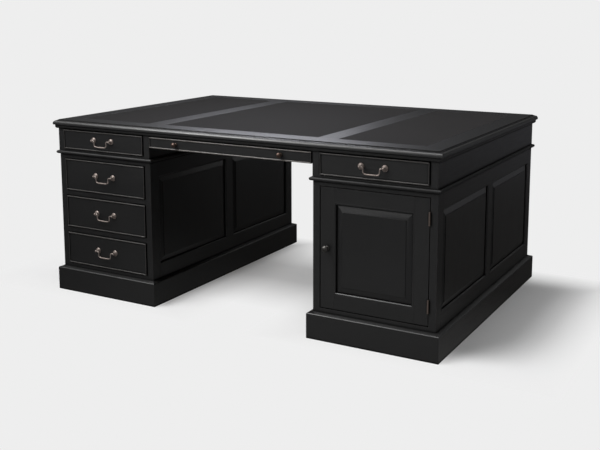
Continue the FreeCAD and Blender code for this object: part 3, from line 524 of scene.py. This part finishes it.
def wearAndHighlightBeads(bm, boards, layers, number, level):
    # a cockbead's rounds are painted lighter, as worn paint and as a painted highlight, more on its
    # level sides than on the upright ones
    middle, size = boards[number]["middle"], boards[number]["size"]
    for face in bm.faces:
        rounded = max(abs(c) for c in face.normal) < woodwork["beadFlat"]
        if rounded and face[layers["board"]] == number:
            out = face.calc_center_median() - middle
            atSide = abs(out.x) / size.x > abs(out.z) / size.z
            upright = atSide and abs(out.z) < size.z / 2 - woodwork["beadEnd"]
            face[layers["wear"]] = woodwork["uprightBeadWearAndHighlight"] if upright else level


def dress(node, arris, materials=("paint",), rings=(), along=None, painted=None,
          beadWearAndHighlight=None, sharp=woodwork["sharp"]):
    # past the first painted boards, the rest of a node takes the second material
    source = frame["nodes"][node].data
    runs = solidRuns(source)
    chance = random.Random(node)
    boards = [grainOf(boxOfRun(source, run), along, chance) for run in runs]
    bm, layers = openMesh(source)
    closeUp(bm, runs, layers)
    ease(bm, arris, neighbourBoxes, layers)
    layGrain(bm, boards, layers, rings)
    if beadWearAndHighlight:
        wearAndHighlightBeads(bm, boards, layers, rings[0], beadWearAndHighlight)
    for face in bm.faces:
        face.material_index = int(painted is not None and face[layers["board"]] >= painted)
    asPiece(node, bm, materials, sharp)


sides = ("front", "rear")
hands = ("right", "left")
drawerNames = ("lower", "middle", "upper", "left_frieze", "right_frieze")
panelRings = range(16, 20)  # the sticking mould round the four panels of a pedestal
beadRing = 1
doorMouldRing = 4
frontBoards = 2  # a drawer's front board and cockbead
boardNodes = ["frieze_frame", "frieze_boards", "bed_moulding", "top_board"]
boardNodes += [f"{hand}_{part}" for hand in hands for part in (
    "pedestal_frame", "side_panels", "carcase_boards", "plinth", "astragal")]
neighbourBoxes = []
for nodeName in boardNodes:
    openRings = panelRings if "pedestal_frame" in nodeName else ()
    neighbourBoxes += boardBoxes(frame["nodes"][nodeName].data, openRings)
print("boards", len(neighbourBoxes))

for hand in hands:
    dress(f"{hand}_pedestal_frame", woodwork["arris"], rings=panelRings)
    dress(f"{hand}_side_panels", woodwork["panelArris"], ("panelPaint",),
          along=2, sharp=woodwork["panelSharp"])
    dress(f"{hand}_carcase_boards", woodwork["arris"])
    dress(f"{hand}_plinth", woodwork["arris"])
    dress(f"{hand}_astragal", woodwork["mouldArris"], ("mouldPaint",))
dress("frieze_frame", woodwork["arris"])
dress("frieze_boards", woodwork["arris"])
dress("bed_moulding", woodwork["mouldArris"])
for side in sides:
    for drawerName in drawerNames + ("centre",):
        # the centre drawer's cockbead gets the most painted highlight and wear
        rub = woodwork["centreBeadWearAndHighlight" if drawerName == "centre" else "beadWearAndHighlight"]
        dress(f"{side}_{drawerName}_drawer", woodwork["mouldArris"],
              ("paint", "boxWood"), rings=(beadRing,), painted=frontBoards, beadWearAndHighlight=rub)
    dress(f"{side}_door_frame", woodwork["arris"], rings=(doorMouldRing,))
    dress(f"{side}_door_panel", woodwork["panelArris"], ("panelPaint",),
          along=2, sharp=woodwork["panelSharp"])
print("woodwork done")


# The top: one board whose face is laid out as mitred borders and bands between the leathers

top = {
    "border": 100 * mm,
    "band": 88 * mm,
    "centreLeather": 736 * mm,
    "arris": 0.5 * mm,
    "leatherArris": 0.5 * mm,
    "cut": micron,
}


def topRegion(point, well):
    # 0 front, 1 right, 2 back, 3 left border; 4 and 5 the two bands
    overX = abs(point.x) - well.x
    overY = abs(point.y) - well.y
    if overX < 0 and overY < 0:
        return 4 if point.x < 0 else 5
    if overY > overX:
        return 0 if point.y < 0 else 2
    return 1 if point.x > 0 else 3


def makeTop():
    source = frame["nodes"]["top_board"].data
    lo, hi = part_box("top_board")
    half = (hi - lo) / 2
    well = Vector((half.x - top["border"], half.y - top["border"], 0))
    bm, layers = openMesh(source)
    closeUp(bm, solidRuns(source), layers)
    ease(bm, top["arris"], [], layers)
    bandStart = top["centreLeather"] / 2
    cuts = [((sign * x, 0, 0), (1, 0, 0)) for x in (bandStart, bandStart + top["band"])
            for sign in (1, -1)]
    cuts += [((0, sign * well.y, 0), (0, 1, 0)) for sign in (1, -1)]
    cuts += [((x * well.x, y * well.y, 0), (x, -y, 0)) for x in (1, -1) for y in (1, -1)]
    for point, normal in cuts:
        everything = list(bm.verts) + list(bm.edges) + list(bm.faces)
        bmesh.ops.bisect_plane(bm, geom=everything, dist=top["cut"], plane_co=point,
                               plane_no=normal)
    chance = random.Random("top")
    # the axis along each region, in the order of topRegion
    boards = [grainOf((lo, hi), along, chance) for along in (0, 1, 0, 1, 1, 1)]
    for face in bm.faces:
        face[layers["board"]] = topRegion(face.calc_center_median(), well)
    layGrain(bm, boards, layers, ())
    asPiece("top_board", bm, ("topPaint",), woodwork["sharp"])


makeTop()
for hand in ("left", "centre", "right"):
    dress(f"{hand}_leather", top["leatherArris"], ("leather",))
print("top done")


# Handles, knobs and hinges, with their profiles in millimetres

metalwork = {
    "steps": 40,
    "sharp": 50,
    "merge": 2 * micron,
    "hingeArris": 0.2 * mm,
}
handle = {
    "centres": 96,
    "reach": 15,
    "rose": [  # radius, height
        (0, 0), (12.7, 0), (13, 0.4), (13, 1.0), (12.6, 1.5), (11.9, 2.2), (10.9, 3.1),
        (9.6, 4.1), (8.2, 4.9), (6.8, 5.5), (5.6, 6.1), (4.7, 6.8), (4.2, 7.5), (4.1, 7.9),
        (4.9, 8.3), (5.2, 8.8), (4.7, 9.3), (4.5, 10), (4.9, 11.4), (5.2, 13.1), (5.3, 14.8),
        (5.1, 16.4), (4.5, 17.8), (3.6, 18.8), (2.5, 19.4), (1.2, 19.8), (0, 19.9)],
    "bail": [  # x, z, radius from one pivot to the grip
        (47, 0, 2.2), (41.6, 0, 2.2), (41, 0, 2.7), (40.6, 0, 3.3), (39.6, 0, 3.4),
        (38.8, 0, 2.9), (37.4, -0.1, 2.75), (34.9, -1.2, 2.8), (33.6, -3.9, 2.8),
        (33.5, -9, 2.6), (33.3, -16.5, 2.6), (31.2, -22.2, 2.6), (25.8, -25.4, 2.65),
        (16, -26, 2.8), (7, -26, 2.95)],
    "gripMiddle": (0, -26, 3.0),
    "rodSides": 5,  # points to a quarter of the rod's round, and between two of its places
    "rodSteps": 5,
}


def closed(bm):
    # seams and poles are merged and the faces point outwards
    bmesh.ops.remove_doubles(bm, verts=bm.verts, dist=metalwork["merge"])
    bmesh.ops.recalc_face_normals(bm, faces=bm.faces)
    return bm


def turned(profile):
    # a profile of radius and height, spun about Z
    bm = bmesh.new()
    corners = [bm.verts.new((radius * mm, 0, height * mm)) for radius, height in profile]
    rims = [bm.edges.new(pair) for pair in zip(corners, corners[1:])]
    bmesh.ops.spin(bm, geom=corners + rims, cent=(0, 0, 0), axis=(0, 0, 1), dvec=(0, 0, 0),
                   angle=2 * math.pi, steps=metalwork["steps"], use_merge=True)
    return closed(bm)


def bentRod(points):
    # a round rod whose thickness follows its points, closed at both ends
    curve = bpy.data.curves.new("rod", "CURVE")
    curve.dimensions = "3D"
    curve.bevel_depth = 1
    curve.bevel_resolution = handle["rodSides"]
    curve.resolution_u = handle["rodSteps"]
    curve.use_fill_caps = True
    spline = curve.splines.new("NURBS")
    spline.points.add(len(points) - 1)
    for point, (x, z, radius) in zip(spline.points, points):
        point.co = (x * mm, 0, z * mm, 1)
        point.radius = radius * mm
    spline.order_u = 3
    spline.use_endpoint_u = True
    holder = bpy.data.objects.new("rod", curve)
    mesh = bpy.data.meshes.new_from_object(holder)
    bpy.data.objects.remove(holder)
    bpy.data.curves.remove(curve)
    bm = bmesh.new()
    bm.from_mesh(mesh)
    bpy.data.meshes.remove(mesh)
    return closed(bm)


def joined(parts):
    # several meshes in one, each at its own place
    whole = bmesh.new()
    for part, place in parts:
        mesh = bpy.data.meshes.new("part")
        part.to_mesh(mesh)
        mesh.transform(place)
        whole.from_mesh(mesh)
        bpy.data.meshes.remove(mesh)
    return whole


def onFront(name):
    # where the foot of a piece stands on a drawer or door, turned round for the rear ones
    lo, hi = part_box(name)
    middle = (lo + hi) / 2
    rear = middle.y > 0
    turn = Matrix.Rotation(math.pi if rear else 0, 4, "Z")
    return Matrix.Translation((middle.x, lo.y if rear else hi.y, middle.z)) @ turn


outward = Matrix.Rotation(math.pi / 2, 4, "X")  # from upright to standing out of the front


def pairOn(place, spacing, part):
    # two of a part, side by side, that stand out from the front
    return joined([(part, place @ Matrix.Translation((x * spacing / 2 * mm, 0, 0)) @ outward)
                   for x in (1, -1)])


def makeHandles():
    rose = turned(handle["rose"])
    half = handle["bail"]
    otherHalf = [(-x, z, radius) for x, z, radius in reversed(half)]
    rod = bentRod(half + [handle["gripMiddle"]] + otherHalf)
    for side in sides:
        for drawerName in drawerNames:
            name = f"{side}_{drawerName}"
            place = onFront(f"{name}_posts")
            posts = pairOn(place, handle["centres"], rose)
            asPiece(f"{name}_posts", posts, ("bronze",), metalwork["sharp"])
            pivot = place @ Matrix.Translation((0, -handle["reach"] * mm, 0))
            bail = joined([(rod, pivot)])
            asPiece(f"{name}_bail", bail, ("bronze",), metalwork["sharp"])


knobs = {
    "spacing": 502,
    "centre": [  # radius, height
        (0, 0), (7.2, 0), (7.5, 0.3), (7.5, 1.1), (7.0, 1.7), (5.8, 2.1), (4.6, 3.0),
        (4.0, 4.4), (4.0, 6.2), (4.5, 7.4), (5.8, 8.3), (8.0, 9.3), (9.6, 10.8),
        (10.4, 12.8), (10.5, 14.2), (10.1, 15.9), (9.0, 17.6), (7.0, 19.1), (4.2, 20.1),
        (1.6, 20.45), (0, 20.5)],
    "door": [
        (0, 0), (9.1, 0), (9.5, 0.4), (9.5, 1.3), (8.9, 2.0), (7.4, 2.5), (5.8, 3.6),
        (5.0, 5.4), (5.0, 7.6), (5.8, 9.2), (7.8, 10.5), (10.6, 12.1), (12.6, 14.3),
        (13.4, 16.6), (13.5, 18.2), (13.0, 20.3), (11.6, 22.5), (9.0, 24.4), (5.6, 25.6),
        (2.2, 25.95), (0, 26)],
}


def makeKnobs():
    centre = turned(knobs["centre"])
    door = turned(knobs["door"])
    for side in sides:
        name = f"{side}_centre_knobs"
        pair = pairOn(onFront(name), knobs["spacing"], centre)
        asPiece(name, pair, ("copper",), metalwork["sharp"])
        name = f"{side}_door_knob"
        single = joined([(door, onFront(name) @ outward)])
        asPiece(name, single, ("darkMetal",), metalwork["sharp"])


makeHandles()
makeKnobs()
for nodeName in ("front_door_leaves", "rear_door_leaves", "hinge_frame_leaves"):
    dress(nodeName, metalwork["hingeArris"], ("hingeMetal",))
print("handles done")


# Floor, lamps and camera, in metres

studio = {
    "backdrop": 0.855,
    "floor": 0.86,
    "floorTint": 0.995,
    "floorRadius": 60,
    "floorSides": 64,
    "floorDrop": 0.1 * mm,
    # painted reflection: glossy rays see the floor glow at these levels, not lit by the lamps
    "sheen": (0.058, 0.056, 0.054, 1),  # how bright the floor is in glossy paint, near and far
    "farSheen": (0.143, 0.143, 0.158, 1),
    "sheenReach": 5,
    "sheenFade": ((0.6, 0.0), (1.0, 1.0)),
    "pool": 0.27,  # a brighter pool before the desk
    "poolMiddle": (0.4, -1.4, 0),
    "poolReach": 2,
    "poolFade": ((0.2, 1.0), (0.9, 0.0)),
    # painted light: by these fades the floor glows over its own shadow
    "sideReach": 2,  # where the floor's shadow gives way: beside, before and behind, between
    "sideFade": ((0.54, 0.05), (0.585, 0.15), (0.68, 1.0)),
    "depthFade": ((0.42, 0.0), (0.50, 0.2), (0.60, 0.68), (0.70, 1.0)),
    "darkest": 0.10,
    "innerFade": ((0.0, 0.43), (0.10, 0.45), (0.40, 0.88), (0.50, 1.0)),
    "plinthFade": ((0.12, 1.0), (0.18, 0.93), (0.24, 0.80), (0.30, 0.66), (0.37, 0.30),
                   (0.40, 0.0)),
    "ambient": 0.04,
    "glossAmbient": 0.05,
}
suns = {  # degrees round from the front to the left, degrees up, degrees wide, strength, lights
    "keyLight": (50, 58, 30, 2.35, "both"),
    "ceilingLight": (0, 88, 40, 0.90, "diffuse"),
    "windowSheen": (16, 11, 20, 0.25, "gloss"),
    "rearWindowSheen": (195, 40, 30, 0.18, "gloss"),
    "lowRearSheen": (220, 6, 24, 0.10, "gloss"),
    "leftSheen": (90, 8, 30, 0.22, "gloss"),
    "rightSheen": (275, 3, 24, 0.12, "gloss"),
    "frontRightSheen": (320, 16, 30, 0.22, "gloss"),
}
softboxes = {  # place, aim, size, power, colour; they light by gloss alone
    "backSheen": ((-0.70, 0.87, 1.89), (0, 0, 0.77), (0.95, 0.50), 17.6, (0.98, 0.99, 1.08)),
    "edgeSheen": ((-1.10, -0.50, 2.00), (0, -0.60, 0.76), (0.50, 0.50), 6.7, (1, 1, 1)),
    "frontSheen": ((-1.0, -1.71, 1.73), (0, -0.60, 0.72), (0.45, 0.45), 44.8, (1, 1, 1)),
}


def glowOverShadow(g, place):
    # painted light: how far the floor glows at the backdrop's level over its own shadow, fully in
    # front, behind and away from the sides, partly between the pedestals
    across = g.add("ShaderNodeSeparateXYZ", None, {0: place}, "X")
    along = across.also("Y")
    across = abs(across)
    beside = g.ramp(across * (1 / studio["sideReach"]), *studio["sideFade"])
    before = g.ramp(abs(along), *studio["depthFade"])
    inner = abs(along - studio["darkest"])
    between = g.ramp(inner, *studio["innerFade"]) * g.ramp(across, *studio["plinthFade"])
    return beside.atLeast(before).atLeast(between)


def makeFloor():
    bm = bmesh.new()
    bmesh.ops.create_circle(bm, cap_ends=True, segments=studio["floorSides"],
                            radius=studio["floorRadius"])
    bmesh.ops.translate(bm, verts=bm.verts, vec=(0, 0, -studio["floorDrop"]))
    mesh = bpy.data.meshes.new("floor")
    bm.to_mesh(mesh)
    bm.free()
    material, g = newFinish("paleFloor")
    level = studio["floor"]
    tinted = level * studio["floorTint"]
    ground = studio["backdrop"]
    place = g.objectPlace()
    pale = g.mix(g.noise(place, 2, 2), (level, level, level, 1), (tinted, tinted, level, 1))
    lit = g.add("ShaderNodeBsdfDiffuse", None, {"Color": pale})
    # painted light: an emission at the backdrop's level, shown to the camera over the floor's
    # shadow
    bare = g.add("ShaderNodeEmission", None, {"Color": (ground, ground, ground, 1)})
    away = g.vectorMaths("LENGTH", {0: place}, "Value") * (1 / studio["sheenReach"])
    sheen = g.mix(g.ramp(away, *studio["sheenFade"]), studio["sheen"], studio["farSheen"])
    aside = g.vectorMaths("DISTANCE", {0: place, 1: studio["poolMiddle"]}, "Value")
    pool = g.ramp(aside * (1 / studio["poolReach"]), *studio["poolFade"]) * studio["pool"]
    # painted reflection: the floor glows for glossy rays, brighter far away and in a pool before
    # the desk
    reflectedGlow = g.add("ShaderNodeEmission", None, {
        "Color": g.vectorMaths("ADD", {0: sheen, 1: pool})})
    seen = g.add("ShaderNodeLightPath", None, None, "Is Camera Ray")
    glowAmount = seen * glowOverShadow(g, place)
    shown = g.add("ShaderNodeMixShader", None, {0: glowAmount, 1: lit, 2: bare})
    shader = g.add("ShaderNodeMixShader", None, {
        0: seen.also("Is Glossy Ray"), 1: shown, 2: reflectedGlow})
    g.add("ShaderNodeOutputMaterial", None, {"Surface": shader})
    mesh.materials.append(material)
    floor = bpy.data.objects.new("floor", mesh)
    bpy.context.scene.collection.objects.link(floor)


def makeWorld():
    world = bpy.data.worlds.new("studio")
    world.use_nodes = True
    bpy.context.scene.world = world
    g = Graph(world.node_tree)
    seen = g.add("ShaderNodeLightPath", None, None, "Is Camera Ray")
    level = studio["ambient"] + seen * (studio["backdrop"] - studio["ambient"])
    level = level + seen.also("Is Glossy Ray") * (studio["glossAmbient"] - studio["ambient"])
    shader = g.add("ShaderNodeBackground", None, {"Color": (1, 1, 1, 1), "Strength": level})
    g.add("ShaderNodeOutputWorld", None, {"Surface": shader})


def addLamp(name, lamp, lights):
    holder = bpy.data.objects.new(name, lamp)
    holder.visible_diffuse = lights != "gloss"
    holder.visible_glossy = lights != "diffuse"
    holder.visible_camera = False
    bpy.context.scene.collection.objects.link(holder)
    return holder


def aimAt(holder, place, direction):
    holder.location = place
    holder.rotation_mode = "QUATERNION"
    holder.rotation_quaternion = direction.to_track_quat("-Z", "Y")


def makeSun(name, turn, rise, width, strength, lights):
    lamp = bpy.data.lights.new(name, "SUN")
    lamp.energy = strength
    lamp.angle = math.radians(width)
    holder = addLamp(name, lamp, lights)
    holder.rotation_euler = (math.radians(90 - rise), 0, -math.radians(turn))


def makeSoftbox(name, place, aim, size, power, colour):
    lamp = bpy.data.lights.new(name, "AREA")
    lamp.shape = "RECTANGLE"
    lamp.size, lamp.size_y = size
    lamp.energy = power
    lamp.color = colour
    aimAt(addLamp(name, lamp, "gloss"), place, Vector(aim) - Vector(place))


camera = {
    "place": (2.0345, -3.5786, 1.2970),
    "turn": 29.04,  # degrees to the left of straight back
    "tilt": -8.69,
    "focal": 917.63,  # pixels, as are the next two
    "middle": (309.63, 140),
    "picture": (600, 450),
    "sensor": 36,
}


def makeCamera():
    lens = bpy.data.cameras.new("camera")
    wide, high = camera["picture"]
    lens.sensor_width = camera["sensor"]
    lens.lens = camera["focal"] / wide * lens.sensor_width
    lens.shift_x = (wide / 2 - camera["middle"][0]) / wide
    lens.shift_y = (camera["middle"][1] - high / 2) / wide
    eye = bpy.data.objects.new("camera", lens)
    turn, tilt = math.radians(camera["turn"]), math.radians(camera["tilt"])
    aimAt(eye, camera["place"], Vector((
        -math.sin(turn) * math.cos(tilt), math.cos(turn) * math.cos(tilt), math.sin(tilt))))
    bpy.context.scene.collection.objects.link(eye)
    bpy.context.scene.camera = eye


makeFloor()
makeWorld()
for lampName, lampSettings in suns.items():
    makeSun(lampName, *lampSettings)
for lampName, lampSettings in softboxes.items():
    makeSoftbox(lampName, *lampSettings)
makeCamera()
bpy.context.scene.view_settings.view_transform = "Standard"
